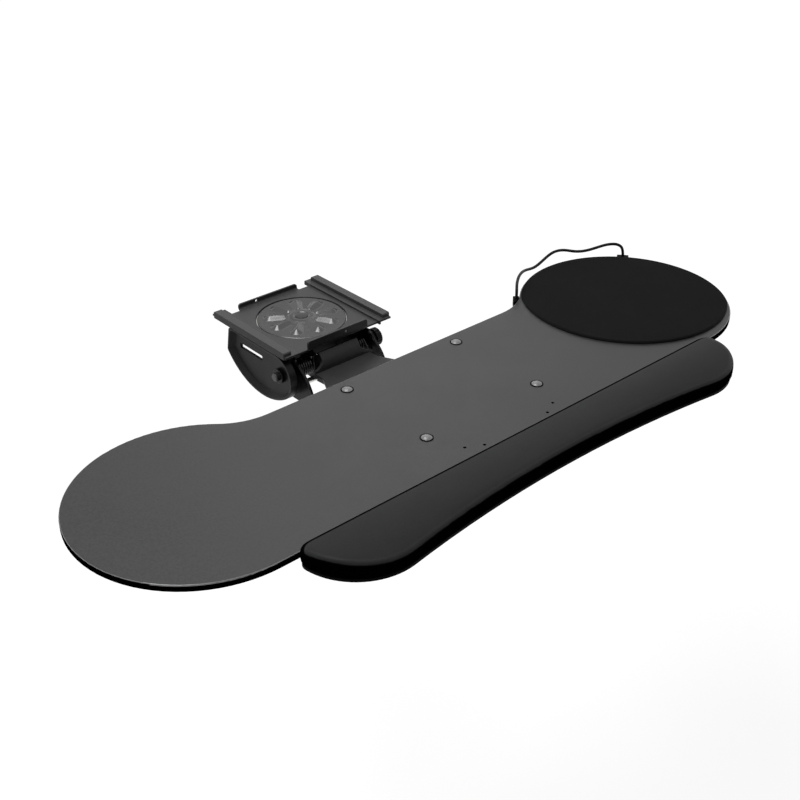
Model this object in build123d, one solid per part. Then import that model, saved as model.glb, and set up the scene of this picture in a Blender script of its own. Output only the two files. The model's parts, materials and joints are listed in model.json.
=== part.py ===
from build123d import *
import os
from math import atan2, cos, degrees, hypot, radians, sin

# Articulating keyboard tray that hangs under a desk, in millimetres.
# X runs to the user's right, Y towards the wall and Z up.
# The origin is on the swivel axis, level with the tops of the two glides.

# Fits shared by every piece
clearance = 0.3
running_fit = 0.05
overrun = 4.0

# Slide plate, a pressed sheet that rides in the track under the desk
sheet = 2.0
plate_length = 130.0
plate_width = 138.4
wing_width = 15.7
wing_joggle = 2.5
bend_radius = 1.5
flange_half_width = 39.0
front_notch_depth = 3.5
rear_notch_depth = 9.0
front_flange_inset = 2.5
rear_flange_inset = 3.5
front_flange_rise = 9.0
rear_flange_rise = 5.5
flange_corner = 3.0
stop_hole_radius = 1.6
rear_stop_hole_x = -16.0
rear_stop_hole_rise = 2.6
front_stop_hole_x = 11.0
front_stop_hole_rise = 4.4

# Nylon glides, one along each wing
glide_length = 124.0
glide_inner = 60.5
glide_stand = 4.0
glide_wrap = 0.5
glide_under = 1.6
glide_grip = 6.7
glide_chamfer = 1.0

# Swivel disc in its round recess, with a nylon ring on each side of the lip
disc_radius = 48.0
disc_gap = 0.6
disc_sheet = 2.0
disc_round = 0.7
lip_width = 5.6
ring_thickness = 1.0
ring_margin = 0.5
petal_count = 9
petal_start = 16.0
petal_end = 40.0
petal_tip_radius = 2.2
petal_bowl_radius = 6.6
petal_wall = 1.4
petal_floor = 1.6
petal_draft = 22.0
first_petal_angle = -136.0
hub_radius = 8.4
hub_depth = 1.2
hub_wall = 2.4
hub_rivet_radius = 4.0
hub_head_radius = 6.4
hub_head_height = 1.6

# Yoke under the disc: a web with two fins and a back wall bent down from it
web_thickness = 3.0
web_radius = 50.0
web_front = 45.0
web_rear = 33.0
left_fin_inner = 50.0
right_fin_inner = 45.5
fin_sheet = 2.5
back_wall_y = -18.5
back_wall_sheet = 2.5
back_wall_drop = 36.5
fin_rear = -12.0
fin_arc_radius = 45.0
fin_arc_y = -41.0
fin_arc_z = -62.0
fin_top_front = -57.0
fin_foot_y = -20.0

# Dished cheek outside the left fin
cheek_inner = 60.0
cheek_depth = 8.0
cheek_floor = 3.0
cheek_rim = 2.0
cheek_draft = 38.0
cheek_sweep_radius = 75.5
cheek_sweep_tilt = 56.6
cheek_end_radius = 25.0
cheek_rear_y = 38.0
cheek_rear_angle = -37.0
cheek_rear_round = 4.0
slot_front = -14.0
slot_rear = 25.0
slot_height = 5.6
slot_z = -27.6

# Lift pivot
lift_y = -44.7
lift_z = -34.5
shaft_radius = 4.5
shaft_left = 71.0
shaft_right = 60.0
shaft_chamfer = 0.8
spacer_radius = 8.0
collar_radius = 8.0
collar_length = 3.5
knob_radius = 10.0
knob_length = 7.0
knob_stub_radius = 3.0
knob_stub_length = 5.0
knob_flutes = 12
knob_flute_radius = 1.6
knob_round = 1.2

# Lift arm, a pressed sheet with a curled rear end on two walls
arm_half_width = 36.0
arm_sheet = 2.5
arm_wall_inner = 22.5
arm_eye_radius = 16.0
arm_curl_radius = 25.0
arm_curl_end_angle = 130.0
arm_crease_angle = 176.6
arm_notch_x = 38.0
arm_notch_z = -14.0
arm_notch_radius = 16.0
arm_wall_depth = 9.5
arm_wall_front = -57.0
arm_web_front = -138.0
arm_flare_start = -76.0
arm_flare_full = -100.0
arm_flare_end = -128.0
arm_flare_half_width = 46.0

# Spring rod and the two torsion springs round the shaft
spring_rod_radius = 1.6
spring_rod_rise = 11.0
spring_rod_margin = 1.0
spring_wire = 2.2
spring_radius = 9.0
spring_pitch = 2.8
spring_half_turns = 11
spring_leg_gap = 0.15
spring_leg_reach = 3.0
spring_leg_angle = 142.0
spring_leg_length = 12.0
spring_side_gap = 0.4

# Levelling links below the arm
link_drop = 20.0
link_inner = 13.0
link_sheet = 3.0
link_end_radius = 5.0
link_rod_radius = 3.0
link_rod_head_radius = 5.0
link_rod_head = 1.5
link_open_fit = 0.4

# Tilt head at the front of the arm
head_y = -156.7
head_z = -27.0
head_inner = 18.0
head_sheet = 3.0
head_eye_radius = 9.0
head_foot_radius = 8.0
head_brace_y = -168.5
head_brace_height = 14.0
arm_front_eye_radius = 10.0
arm_pin_radius = 4.0
pin_head_radius = 6.5
pin_head = 1.5
tilt_y = -176.0
tilt_z = -16.0
tilt_pin_radius = 4.0

# Board with two round lobes
board_y = -218.7
board_bottom = -1.5
board_thickness = 6.0
board_width = 762.0
lobe_radius = 111.5
lobe_y = 3.0
board_rear_edge = 70.4
waist_start = 152.0
board_edge_round = 1.0

# Bracket under the board and its four rivets
bracket_sheet = 2.5
bracket_margin = 12.0
bracket_ear_inner = 22.0
bracket_ear_width = 24.0
rivet_x = 70.7
rivet_y = 55.2
rivet_shank_radius = 3.0
rivet_head_radius = 5.6
rivet_head_height = 2.2
rivet_foot_radius = 4.8
rivet_foot_height = 1.2

# Mouse pad on the right lobe
pad_margin = 5.0
pad_thickness = 3.0
pad_offset = 2.5
pad_edge_round = 0.8

# Palm rest in front of the board
palm_gap = 0.3
palm_half_length = 257.0
palm_middle_depth = 50.0
palm_lobe_depth = 64.0
palm_lobe_x = 190.0
palm_shoulder_share = 0.69
palm_shoulder_depth_share = 0.79
palm_end_depth_share = 0.19
palm_lobe_round = 28.0
palm_rear_round = 11.0
palm_side = 12.6
palm_crown = 4.5
palm_crown_radius = 150.0
palm_top_round = 4.5
palm_bottom_round = 1.2
palm_base_sheet = 3.0
palm_base_inset = 1.2
palm_base_drop = 2.0

# Brackets that carry the palm rest
palm_bracket_sheet = 2.0
palm_bracket_width = 34.0
palm_bracket_hold = 28.5
palm_bracket_reach = 39.5
palm_bracket_overlap = 3.0
board_hole_outer_x = 56.4
board_hole_outer_inset = 20.0
board_hole_inner_x = 40.3
board_hole_inner_inset = 11.8
board_hole_radius = 1.5
screw_radius = 1.35
screw_depth = 3.0
screw_head_radius = 3.0
screw_head_height = 1.4
base_screw_reach = 13.5
base_screw_pitch = 16.0
base_screw_depth = 2.4

# Bent wire guard behind the mouse pad, and its two clips
wire_radius = 1.2
wire_stand_off = 3.5
wire_first_angle = 40.0
wire_past_touch = 5.9
wire_crest = 15.0
wire_dip = 8.0
wire_foot_bend = 6.0
wire_wave_bend = 26.0
wire_angle_shares = (0.0, 0.11, 0.25, 0.35, 0.45, 0.57, 0.67, 0.79, 0.90, 1.0)
wire_height_shares = (1.0, 0.9, 0.0, 0.45, 1.0, 0.55, 0.0, 0.6, 1.0, 0.95)
clip_length = 13.0
clip_depth = 7.0
clip_rise = 1.0
clip_lip = 12.0
clip_sheet = 2.0
clip_screw_inset = 7.0

# Levels worked out from the sizes above
wing_top = -glide_stand
base_top = wing_top - wing_joggle
base_bottom = base_top - sheet
lip_top = base_top - disc_sheet - ring_thickness
lip_bottom = lip_top - sheet
web_top = lip_bottom - ring_thickness
web_bottom = web_top - web_thickness
recess_radius = disc_radius + disc_gap
lip_radius = recess_radius - lip_width
cheek_outer = cheek_inner + cheek_depth
cheek_face = cheek_inner + cheek_floor
left_fin_outer = left_fin_inner + fin_sheet
right_fin_outer = right_fin_inner + fin_sheet
arm_wall_outer = arm_wall_inner + arm_sheet
spring_first = arm_wall_outer + spring_side_gap + spring_wire / 2
arm_crease_z = lift_z + arm_curl_radius * sin(radians(arm_crease_angle))
link_rod_z = lift_z - link_drop
link_pin_z = head_z - link_drop
board_top = board_bottom + board_thickness
bracket_bottom = board_bottom - bracket_sheet
lobe_x = board_width / 2 - lobe_radius
lobe_centre_y = board_y + lobe_y
board_front = lobe_centre_y - lobe_radius
waist_run = lobe_x - waist_start
waist_rise = board_rear_edge - lobe_y
waist_radius = (waist_run ** 2 + waist_rise ** 2 - lobe_radius ** 2) / (2 * (lobe_radius - waist_rise))
touch_angle = degrees(atan2(waist_rise + waist_radius, -waist_run))
pad_radius = lobe_radius - pad_margin
palm_back = board_front - palm_gap
palm_base_bottom = board_bottom - palm_base_drop
palm_bottom = palm_base_bottom + palm_base_sheet
wire_ring = lobe_radius + wire_stand_off
wire_last_angle = touch_angle + wire_past_touch


# Shapes that several pieces use

def block(x0, x1, y0, y1, z0, z1):
    box = Box(x1 - x0, y1 - y0, z1 - z0)
    return Pos((x0 + x1) / 2, (y0 + y1) / 2, (z0 + z1) / 2) * box


def post(radius, z0, z1, x=0.0, y=0.0):
    return Pos(x, y, (z0 + z1) / 2) * Cylinder(radius, z1 - z0)


def rod(radius, x0, x1, y, z):
    return Pos((x0 + x1) / 2, y, z) * Rot(0, 90, 0) * Cylinder(radius, x1 - x0)


def tube(radius, bore, x0, x1, y, z):
    return rod(radius, x0, x1, y, z) - rod(bore, x0 - overrun, x1 + overrun, y, z)


def side_plate(outline, x0, x1):
    return extrude(Plane.YZ.offset(x0) * outline, amount=x1 - x0)


def level_plate(outline, z0, z1):
    return extrude(Plane.XY.offset(z0) * outline, amount=z1 - z0)


def mirrored(shape):
    return mirror(shape, about=Plane.YZ)


def hull_of(*circles):
    edges = [edge for y, z, radius in circles for edge in (Pos(y, z) * Circle(radius)).edges()]
    return make_hull(edges)


def on_circle(y, z, radius, angle):
    return (y + radius * cos(radians(angle)), z + radius * sin(radians(angle)))


def save(name, *solids):
    shape = solids[0] if len(solids) == 1 else Compound(children=list(solids))
    export_step(shape, f"parts/{name}.step")


# Carriage

def bent_flange(root, outer, top, side):
    inner = outer - side * sheet
    corners = [
        (root, base_bottom), (outer, base_bottom), (outer, top),
        (inner, top), (inner, base_top), (root, base_top),
    ]
    profile = make_face(Polyline(*corners, close=True))
    outside = profile.vertices().sort_by_distance(Vector(outer, base_bottom))[0]
    profile = fillet(outside, bend_radius + sheet)
    inside = profile.vertices().sort_by_distance(Vector(inner, base_top))[0]
    profile = fillet(inside, bend_radius)
    strip = side_plate(profile, -flange_half_width, flange_half_width)
    corners = strip.edges().filter_by(Axis.Y).group_by(Axis.Z)[-1]
    return fillet(corners, flange_corner)


def slide_plate():
    half = plate_width / 2
    riser = half - wing_width
    section = [
        (-half, wing_top), (-riser, wing_top), (-riser, base_top), (riser, base_top),
        (riser, wing_top), (half, wing_top), (half, wing_top - sheet),
        (riser + sheet, wing_top - sheet), (riser + sheet, base_bottom),
        (-riser - sheet, base_bottom), (-riser - sheet, wing_top - sheet),
        (-half, wing_top - sheet),
    ]
    profile = make_face(Polyline(*section, close=True))
    plate = extrude(Plane.XZ.offset(-plate_length / 2) * profile, amount=plate_length)
    end = plate_length / 2
    front_hole = (front_stop_hole_x, base_top + front_stop_hole_rise)
    rear_hole = (rear_stop_hole_x, base_top + rear_stop_hole_rise)
    ends = (
        (-1, front_notch_depth, front_flange_inset, front_flange_rise, front_hole),
        (1, rear_notch_depth, rear_flange_inset, rear_flange_rise, rear_hole),
    )
    for side, notch, inset, rise, (hole_x, hole_z) in ends:
        cut_from, cut_to = sorted((side * (end - notch), side * (end + overrun)))
        plate -= block(-riser, riser, cut_from, cut_to, base_bottom - overrun, wing_top)
        outer = side * (end - inset)
        root = side * (end - notch - bend_radius - sheet)
        plate += bent_flange(root, outer, base_top + rise, side)
        plate -= Pos(hole_x, outer, hole_z) * Rot(90, 0, 0) * Cylinder(stop_hole_radius, 2 * overrun)
    recess = post(recess_radius + sheet, lip_bottom, base_top)
    plate += recess
    plate -= post(recess_radius, lip_top, base_top + overrun)
    plate -= post(lip_radius, lip_bottom - overrun, base_top)
    return plate


def glide():
    half = plate_width / 2
    outer = half + glide_wrap
    under = wing_top - sheet
    grip = half - glide_grip
    section = [
        (glide_inner, wing_top), (glide_inner, 0), (outer, 0), (outer, under - glide_under),
        (grip, under - glide_under), (grip, under), (half, under), (half, wing_top),
    ]
    profile = make_face(Polyline(*section, close=True))
    strip = extrude(Plane.XZ.offset(-glide_length / 2) * profile, amount=glide_length)
    ends = strip.edges().filter_by(Axis.X).group_by(Axis.Z)[-1]
    return chamfer(ends, glide_chamfer)


def bearing_ring(z0):
    ring = post(recess_radius - ring_margin, z0, z0 + ring_thickness)
    return ring - post(lip_radius + ring_margin, z0 - overrun, z0 + overrun)


# Swivel

def petal(grow):
    tip = petal_start + petal_tip_radius
    bowl = petal_end - petal_bowl_radius
    return hull_of((tip, 0, petal_tip_radius + grow), (bowl, 0, petal_bowl_radius + grow))


def swivel_disc():
    disc = post(disc_radius, base_top - disc_sheet, base_top)
    disc = fillet(disc.edges().group_by(Axis.Z)[-1], disc_round)
    underside = base_top - disc_sheet
    boss_height = underside - web_top
    boss = extrude(Pos(0, 0, underside) * petal(0), amount=boss_height, dir=(0, 0, -1),
                   taper=petal_draft / 2)
    recess_depth = base_top - web_top - petal_floor
    recess = extrude(Pos(0, 0, base_top) * petal(-petal_wall / 4), amount=recess_depth,
                     dir=(0, 0, -1), taper=petal_draft)
    turns = [first_petal_angle + index * 360 / petal_count for index in range(petal_count)]
    disc += [Rot(0, 0, turn) * boss for turn in turns]
    disc += post(hub_radius + hub_wall, web_top, underside)
    disc -= [Rot(0, 0, turn) * recess for turn in turns]
    disc -= post(hub_radius, base_top - hub_depth, base_top + overrun)
    disc -= post(hub_rivet_radius, web_top - overrun, base_top)
    return disc


def hub_rivet():
    seat = base_top - hub_depth
    shank = post(hub_rivet_radius, web_bottom, seat)
    head = post(hub_head_radius, seat, seat + hub_head_height / 2)
    foot = post(hub_head_radius, web_bottom - hub_head_height, web_bottom)
    return shank + head + foot


def fin_outline():
    start = (fin_top_front, web_bottom)
    lean = degrees(atan2(start[1] - fin_arc_z, start[0] - fin_arc_y))
    first = on_circle(fin_arc_y, fin_arc_z, fin_arc_radius, lean)
    middle = on_circle(fin_arc_y, fin_arc_z, fin_arc_radius, (lean + 180) / 2)
    last = on_circle(fin_arc_y, fin_arc_z, fin_arc_radius, 180)
    edge = ThreePointArc(first, middle, last)
    rest = Polyline(last, (fin_foot_y, fin_arc_z), (fin_rear, web_bottom), start, first)
    return make_face([edge, rest])


def yoke():
    body = post(web_radius, web_bottom, web_top)
    body += block(-cheek_inner, right_fin_outer, -web_front, web_rear, web_bottom, web_top)
    for inner in (right_fin_inner, -left_fin_outer):
        body += side_plate(fin_outline(), inner, inner + fin_sheet)
    wall_front = back_wall_y - back_wall_sheet
    body += block(-left_fin_inner, right_fin_inner, wall_front, back_wall_y,
                  web_bottom - back_wall_drop, web_bottom)
    body -= post(hub_rivet_radius, web_bottom - overrun, web_top + overrun)
    body -= rod(shaft_radius, -cheek_inner, cheek_inner, lift_y, lift_z)
    body -= rod(link_rod_radius, -cheek_inner, cheek_inner, lift_y, link_rod_z)
    return body


def cheek_outline(inset):
    end_radius = cheek_end_radius - inset
    sweep_radius = cheek_sweep_radius - inset
    reach = cheek_sweep_radius - cheek_end_radius
    centre = on_circle(lift_y, lift_z, reach, cheek_sweep_tilt)
    top = lift_z + end_radius
    touch = cheek_sweep_tilt + 180
    nose_middle = on_circle(lift_y, lift_z, end_radius, (90 + touch) / 2)
    nose_last = on_circle(lift_y, lift_z, end_radius, touch)
    sweep_middle = on_circle(*centre, sweep_radius, (touch - 360 + cheek_rear_angle) / 2)
    sweep_last = on_circle(*centre, sweep_radius, cheek_rear_angle)
    nose = ThreePointArc((lift_y, top), nose_middle, nose_last)
    sweep_arc = ThreePointArc(nose_last, sweep_middle, sweep_last)
    back = Polyline(sweep_last, (cheek_rear_y - inset, top), (lift_y, top))
    outline = make_face([nose, sweep_arc, back])
    corners = outline.vertices().sort_by(Axis.X)[-2:]
    return fillet(corners, cheek_rear_round)


def cheek():
    body = side_plate(cheek_outline(0), cheek_inner, cheek_outer)
    face = Plane.YZ.offset(cheek_outer) * cheek_outline(cheek_rim)
    body -= extrude(face, amount=cheek_depth - cheek_floor, dir=(-1, 0, 0), taper=cheek_draft)
    body -= rod(shaft_radius, cheek_inner - overrun, cheek_outer + overrun, lift_y, lift_z)
    slot = Pos((slot_front + slot_rear) / 2, slot_z) * Rectangle(slot_rear - slot_front, slot_height)
    body -= side_plate(slot, cheek_inner - overrun, cheek_outer + overrun)
    return body


def spacer(x0, x1):
    return tube(spacer_radius, shaft_radius, x0, x1, lift_y, lift_z)


def lift_shaft():
    shaft = rod(shaft_radius, -shaft_left, shaft_right, lift_y, lift_z)
    shaft = chamfer(shaft.edges().group_by(Axis.X)[0], shaft_chamfer)
    stub_end = shaft_right + knob_stub_length
    return shaft + rod(knob_stub_radius, shaft_right, stub_end, lift_y, lift_z)


def shaft_collar():
    return tube(collar_radius, shaft_radius, -cheek_face - collar_length, -cheek_face, lift_y, lift_z)


def tension_knob():
    start = shaft_right + clearance
    knob = rod(knob_radius, start, start + knob_length, lift_y, lift_z)
    knob = fillet(knob.edges().group_by(Axis.X)[-1], knob_round)
    for index in range(knob_flutes):
        y, z = on_circle(lift_y, lift_z, knob_radius + knob_flute_radius / 2, index * 360 / knob_flutes)
        knob -= rod(knob_flute_radius, start - overrun, start + knob_length + overrun, y, z)
    stub_end = shaft_right + knob_stub_length + clearance
    return knob - rod(knob_stub_radius + running_fit, start - overrun, stub_end, lift_y, lift_z)


def headed_rod(radius, left, right, head_radius, head, y, z):
    pin = rod(radius, left - head, right + head, y, z)
    pin += rod(head_radius, right, right + head, y, z)
    return pin + rod(head_radius, left - head, left, y, z)


# Lift arm

def arm_outline():
    eye = Pos(lift_y, lift_z) * Circle(arm_eye_radius)
    crease = on_circle(lift_y, lift_z, arm_curl_radius, arm_crease_angle)
    crest = on_circle(lift_y, lift_z, arm_curl_radius, arm_curl_end_angle)
    middle = on_circle(lift_y, lift_z, arm_curl_radius, (arm_crease_angle + arm_curl_end_angle) / 2)
    curl = make_face([
        ThreePointArc(crest, middle, crease),
        Polyline(crease, (crease[0], arm_crease_z - arm_wall_depth),
                 (arm_wall_front, arm_crease_z - arm_wall_depth), (lift_y, lift_z), crest),
    ])
    run = Pos((arm_wall_front + arm_web_front) / 2, arm_crease_z - arm_wall_depth / 2)
    run *= Rectangle(arm_wall_front - arm_web_front, arm_wall_depth)
    above = Pos(crease[0], arm_crease_z)
    above *= Rectangle(arm_curl_radius, arm_curl_radius, align=(Align.MAX, Align.MIN))
    nose_radius = arm_wall_depth / 2
    nose = (arm_web_front, arm_crease_z - nose_radius, nose_radius)
    front = hull_of(nose, (head_y, head_z, arm_front_eye_radius))
    return eye + curl + (run - above) + front


def arm_cavity():
    crest = on_circle(lift_y, lift_z, arm_curl_radius - arm_sheet, arm_curl_end_angle)
    crease = on_circle(lift_y, lift_z, arm_curl_radius - arm_sheet, arm_crease_angle)
    middle = on_circle(lift_y, lift_z, arm_curl_radius - arm_sheet,
                       (arm_crease_angle + arm_curl_end_angle) / 2)
    ceiling = arm_crease_z - arm_sheet
    rise = head_z + arm_front_eye_radius + overrun
    floor = lift_z - arm_eye_radius - overrun
    front = head_y - arm_front_eye_radius - overrun
    back = lift_y + arm_eye_radius + overrun
    lid = lift_z + arm_curl_radius
    rim = on_circle(lift_y, lift_z, arm_curl_radius + overrun, arm_curl_end_angle)
    rest = Polyline(crease, (crease[0], ceiling), (arm_web_front, ceiling), (arm_web_front, rise),
                    (front, rise), (front, floor), (back, floor), (back, lid), rim, crest)
    return make_face([ThreePointArc(crest, middle, crease), rest])


def lift_arm():
    wide = arm_half_width + overrun
    body = side_plate(arm_outline(), -arm_half_width, arm_half_width)
    body -= side_plate(arm_cavity(), -wide, wide)
    notch = Pos(arm_notch_x, lift_y, arm_notch_z) * Rot(90, 0, 0)
    notch *= Cylinder(arm_notch_radius, 2 * arm_curl_radius + 2 * overrun)
    body -= notch
    body -= mirrored(notch)
    for inner in (arm_wall_inner, -arm_wall_outer):
        body += side_plate(arm_outline(), inner, inner + arm_sheet)
    flare = [
        (arm_half_width - arm_sheet, arm_flare_start), (arm_flare_half_width, arm_flare_full),
        (arm_flare_half_width, arm_flare_end), (arm_half_width - arm_sheet, arm_flare_end),
    ]
    wing = level_plate(make_face(Polyline(*flare, close=True)), arm_crease_z - arm_sheet, arm_crease_z)
    body += wing
    body += mirrored(wing)
    for radius, y, z in (
        (shaft_radius + running_fit, lift_y, lift_z),
        (arm_pin_radius + running_fit, head_y, head_z),
        (spring_rod_radius, *spring_rod_place()),
    ):
        body -= rod(radius, -arm_flare_half_width, arm_flare_half_width, y, z)
    return body


def spring_rod_place():
    side = spring_radius - spring_wire / 2 - spring_rod_radius - spring_leg_gap
    return (lift_y - side, lift_z + spring_rod_rise)


def spring_rod():
    reach = spring_first + spring_wire / 2 + spring_rod_margin
    return rod(spring_rod_radius, -reach, reach, *spring_rod_place())


def on_turn(index, angle):
    half_step = spring_pitch / 2
    side = 1 if index % 2 == 0 else -1
    back = cos(radians(angle))
    x = spring_first + index * half_step + (1 - back) * half_step / 2
    y = lift_y - side * back * spring_radius
    z = lift_z - side * sin(radians(angle)) * hypot(spring_radius, half_step / 2)
    return Vector(x, y, z)


def torsion_spring():
    turns = [(index, 180) for index in range(spring_half_turns)]
    turns.append((spring_half_turns, spring_leg_angle))
    edges = [ThreePointArc(on_turn(index, 0), on_turn(index, end / 2), on_turn(index, end))
             for index, end in turns]
    start = on_turn(0, 0)
    inner_leg = Line(start + Vector(0, 0, spring_rod_rise + spring_leg_reach), start)
    stop = edges[-1] @ 1
    outer_leg = Line(stop, stop + (edges[-1] % 1) * spring_leg_length)
    path = Wire([inner_leg, *edges, outer_leg])
    section = Plane(origin=path @ 0, z_dir=path % 0) * Circle(spring_wire / 2)
    gap = spring_pitch - spring_wire
    count = (spring_half_turns + spring_leg_angle / 180) / 2
    print(f"spring: {count:.1f} turns, least gap between turns {gap:.2f} mm")
    return sweep(section, path=path)


# Links and tilt head

def link():
    bar = hull_of((lift_y, link_rod_z, link_end_radius), (head_y, link_pin_z, link_end_radius))
    body = side_plate(bar, link_inner, link_inner + link_sheet)
    body -= rod(link_rod_radius + running_fit, 0, cheek_inner, lift_y, link_rod_z)
    body -= rod(link_rod_radius + link_open_fit, 0, cheek_inner, head_y, link_pin_z)
    return body


def tilt_head():
    outline = hull_of(
        (head_y, head_z, head_eye_radius),
        (head_y, link_pin_z, head_foot_radius),
        (tilt_y, tilt_z, head_eye_radius),
    )
    head_outer = head_inner + head_sheet
    body = side_plate(outline, head_inner, head_outer)
    body += side_plate(outline, -head_outer, -head_inner)
    brace_top = head_z - head_sheet
    body += block(-head_inner, head_inner, head_brace_y - head_sheet, head_brace_y,
                  brace_top - head_brace_height, brace_top)
    for radius, y, z in (
        (arm_pin_radius, head_y, head_z),
        (link_rod_radius, head_y, link_pin_z),
        (tilt_pin_radius, tilt_y, tilt_z),
    ):
        body -= rod(radius, -head_outer - overrun, head_outer + overrun, y, z)
    return body


# Tray

def board_outline():
    rear = board_y + board_rear_edge
    centre = (waist_start, rear + waist_radius)
    lean = touch_angle - 180
    touch = on_circle(*centre, waist_radius, lean)
    middle = on_circle(*centre, waist_radius, (lean - 90) / 2)
    outline = Pos(0, (rear + board_front) / 2) * Rectangle(2 * waist_start, rear - board_front)
    for side in (1, -1):
        bridge = [
            ThreePointArc((side * waist_start, rear), (side * middle[0], middle[1]),
                          (side * touch[0], touch[1])),
            Polyline((side * touch[0], touch[1]), (side * lobe_x, lobe_centre_y),
                     (side * lobe_x, board_front), (side * waist_start, board_front),
                     (side * waist_start, rear)),
        ]
        outline += make_face(bridge)
        outline += Pos(side * lobe_x, lobe_centre_y) * Circle(lobe_radius)
    return outline


def board_holes():
    places = []
    for side in (-1, 1):
        places.append((side * board_hole_outer_x, board_front + board_hole_outer_inset))
        places.append((side * board_hole_inner_x, board_front + board_hole_inner_inset))
    return places


def rivet_places():
    return [(i * rivet_x, board_y + j * rivet_y) for i in (-1, 1) for j in (-1, 1)]


def board():
    body = level_plate(board_outline(), board_bottom, board_top)
    body = fillet(body.edges().group_by(Axis.Z)[-1], board_edge_round)
    for x, y in rivet_places():
        body -= post(rivet_shank_radius, board_bottom - overrun, board_top + overrun, x, y)
    for x, y in board_holes():
        body -= post(board_hole_radius, board_bottom - overrun, board_top + overrun, x, y)
    for place in clip_angles():
        x, y = on_circle(lobe_x, lobe_centre_y, lobe_radius - clip_screw_inset, place)
        body -= post(screw_radius, board_bottom - overrun, board_bottom + screw_depth, x, y)
    return body


def tray_bracket():
    width = 2 * (rivet_x + bracket_margin)
    length = 2 * (rivet_y + bracket_margin)
    plate = Pos(0, board_y) * RectangleRounded(width, length, bracket_margin)
    body = level_plate(plate, bracket_bottom, board_bottom)
    ear = hull_of((tilt_y, tilt_z, head_eye_radius))
    half = bracket_ear_width / 2
    root = Pos(tilt_y, bracket_bottom) * Rectangle(2 * half, 2 * bracket_sheet)
    ear = make_hull(ear.edges() + root.edges())
    ear -= Pos(tilt_y, bracket_bottom) * Rectangle(4 * half, overrun, align=(Align.CENTER, Align.MIN))
    outer = bracket_ear_inner + head_sheet
    for inner in (bracket_ear_inner, -outer):
        body += side_plate(ear, inner, inner + head_sheet)
    body -= rod(tilt_pin_radius + running_fit, -outer - overrun, outer + overrun, tilt_y, tilt_z)
    for x, y in rivet_places():
        body -= post(rivet_shank_radius, bracket_bottom - overrun, board_bottom + overrun, x, y)
    return body


def board_rivet(x, y):
    dome_radius = (rivet_head_radius ** 2 + rivet_head_height ** 2) / (2 * rivet_head_height)
    dome = Pos(x, y, board_top + rivet_head_height - dome_radius) * Sphere(dome_radius)
    dome &= post(dome_radius, board_top, board_top + dome_radius, x, y)
    shank = post(rivet_shank_radius, bracket_bottom, board_top, x, y)
    foot = post(rivet_foot_radius, bracket_bottom - rivet_foot_height, bracket_bottom, x, y)
    return dome + shank + foot


def mouse_pad():
    x = lobe_x + pad_offset
    y = lobe_centre_y + pad_offset
    pad = post(pad_radius, board_top, board_top + pad_thickness, x, y)
    return fillet(pad.edges().group_by(Axis.Z)[-1], pad_edge_round)


def palm_outline(inset):
    end = palm_half_length - inset
    back = palm_back - inset
    middle = palm_back - palm_middle_depth + inset
    lobe = palm_back - palm_lobe_depth + inset
    shoulder_x = palm_lobe_x + (end - palm_lobe_x) * palm_shoulder_share
    shoulder_y = palm_back - palm_lobe_depth * palm_shoulder_depth_share + inset
    end_y = palm_back - palm_lobe_depth * palm_end_depth_share
    front = ThreePointArc((-palm_lobe_x, lobe), (0, middle), (palm_lobe_x, lobe))
    right = ThreePointArc((palm_lobe_x, lobe), (shoulder_x, shoulder_y), (end, end_y))
    left = ThreePointArc((-palm_lobe_x, lobe), (-shoulder_x, shoulder_y), (-end, end_y))
    rear = Polyline((end, end_y), (end, back), (-end, back), (-end, end_y))
    outline = make_face([front, right, rear, left])
    rear_corners = outline.vertices().group_by(Axis.Y)[-1]
    outline = fillet(rear_corners, palm_rear_round - inset)
    lobe_corners = outline.vertices().group_by(Axis.Y)[0]
    return fillet(lobe_corners, palm_lobe_round - inset)


def palm_rest():
    crest = palm_bottom + palm_side + palm_crown
    body = level_plate(palm_outline(0), palm_bottom, crest)
    depth = palm_back - palm_lobe_depth / 2
    body &= rod(palm_crown_radius, -board_width / 2, board_width / 2, depth, crest - palm_crown_radius)
    top = body.faces().sort_by(Axis.Z)[-1]
    body = fillet(top.edges(), palm_top_round)
    bottom = body.faces().sort_by(Axis.Z)[0]
    return fillet(bottom.edges(), palm_bottom_round)


def palm_rest_base():
    outline = palm_outline(palm_base_inset)
    body = level_plate(outline, palm_base_bottom, palm_bottom)
    for x, y in base_screw_places():
        body -= post(screw_radius, palm_base_bottom - overrun, palm_base_bottom + base_screw_depth, x, y)
    return body


def palm_bracket_x():
    return (board_hole_outer_x + board_hole_inner_x) / 2


def base_screw_places():
    rows = (base_screw_reach, base_screw_reach + base_screw_pitch)
    return [(side * palm_bracket_x(), board_front - row) for side in (-1, 1) for row in rows]


def palm_bracket():
    rear = board_front + palm_bracket_hold
    front = board_front - palm_bracket_reach
    step = board_front + palm_bracket_overlap
    upper = board_bottom - palm_bracket_sheet
    lower = palm_base_bottom - palm_bracket_sheet
    section = [
        (rear, board_bottom), (rear, upper), (step, upper), (step, lower), (front, lower),
        (front, palm_base_bottom), (step - palm_bracket_sheet, palm_base_bottom),
        (step - palm_bracket_sheet, board_bottom),
    ]
    profile = make_face(Polyline(*section, close=True))
    half = palm_bracket_width / 2
    body = side_plate(profile, palm_bracket_x() - half, palm_bracket_x() + half)
    for x, y in board_holes() + base_screw_places():
        if x > 0:
            body -= post(screw_radius, lower - overrun, board_bottom + overrun, x, y)
    return body


def screw(x, y, seat, depth):
    shank = post(screw_radius, seat, seat + palm_bracket_sheet + depth, x, y)
    return shank + post(screw_head_radius, seat - screw_head_height, seat, x, y)


def bracket_screws():
    seat = board_bottom - palm_bracket_sheet
    return [screw(x, y, seat, screw_depth) for x, y in board_holes()]


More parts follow.
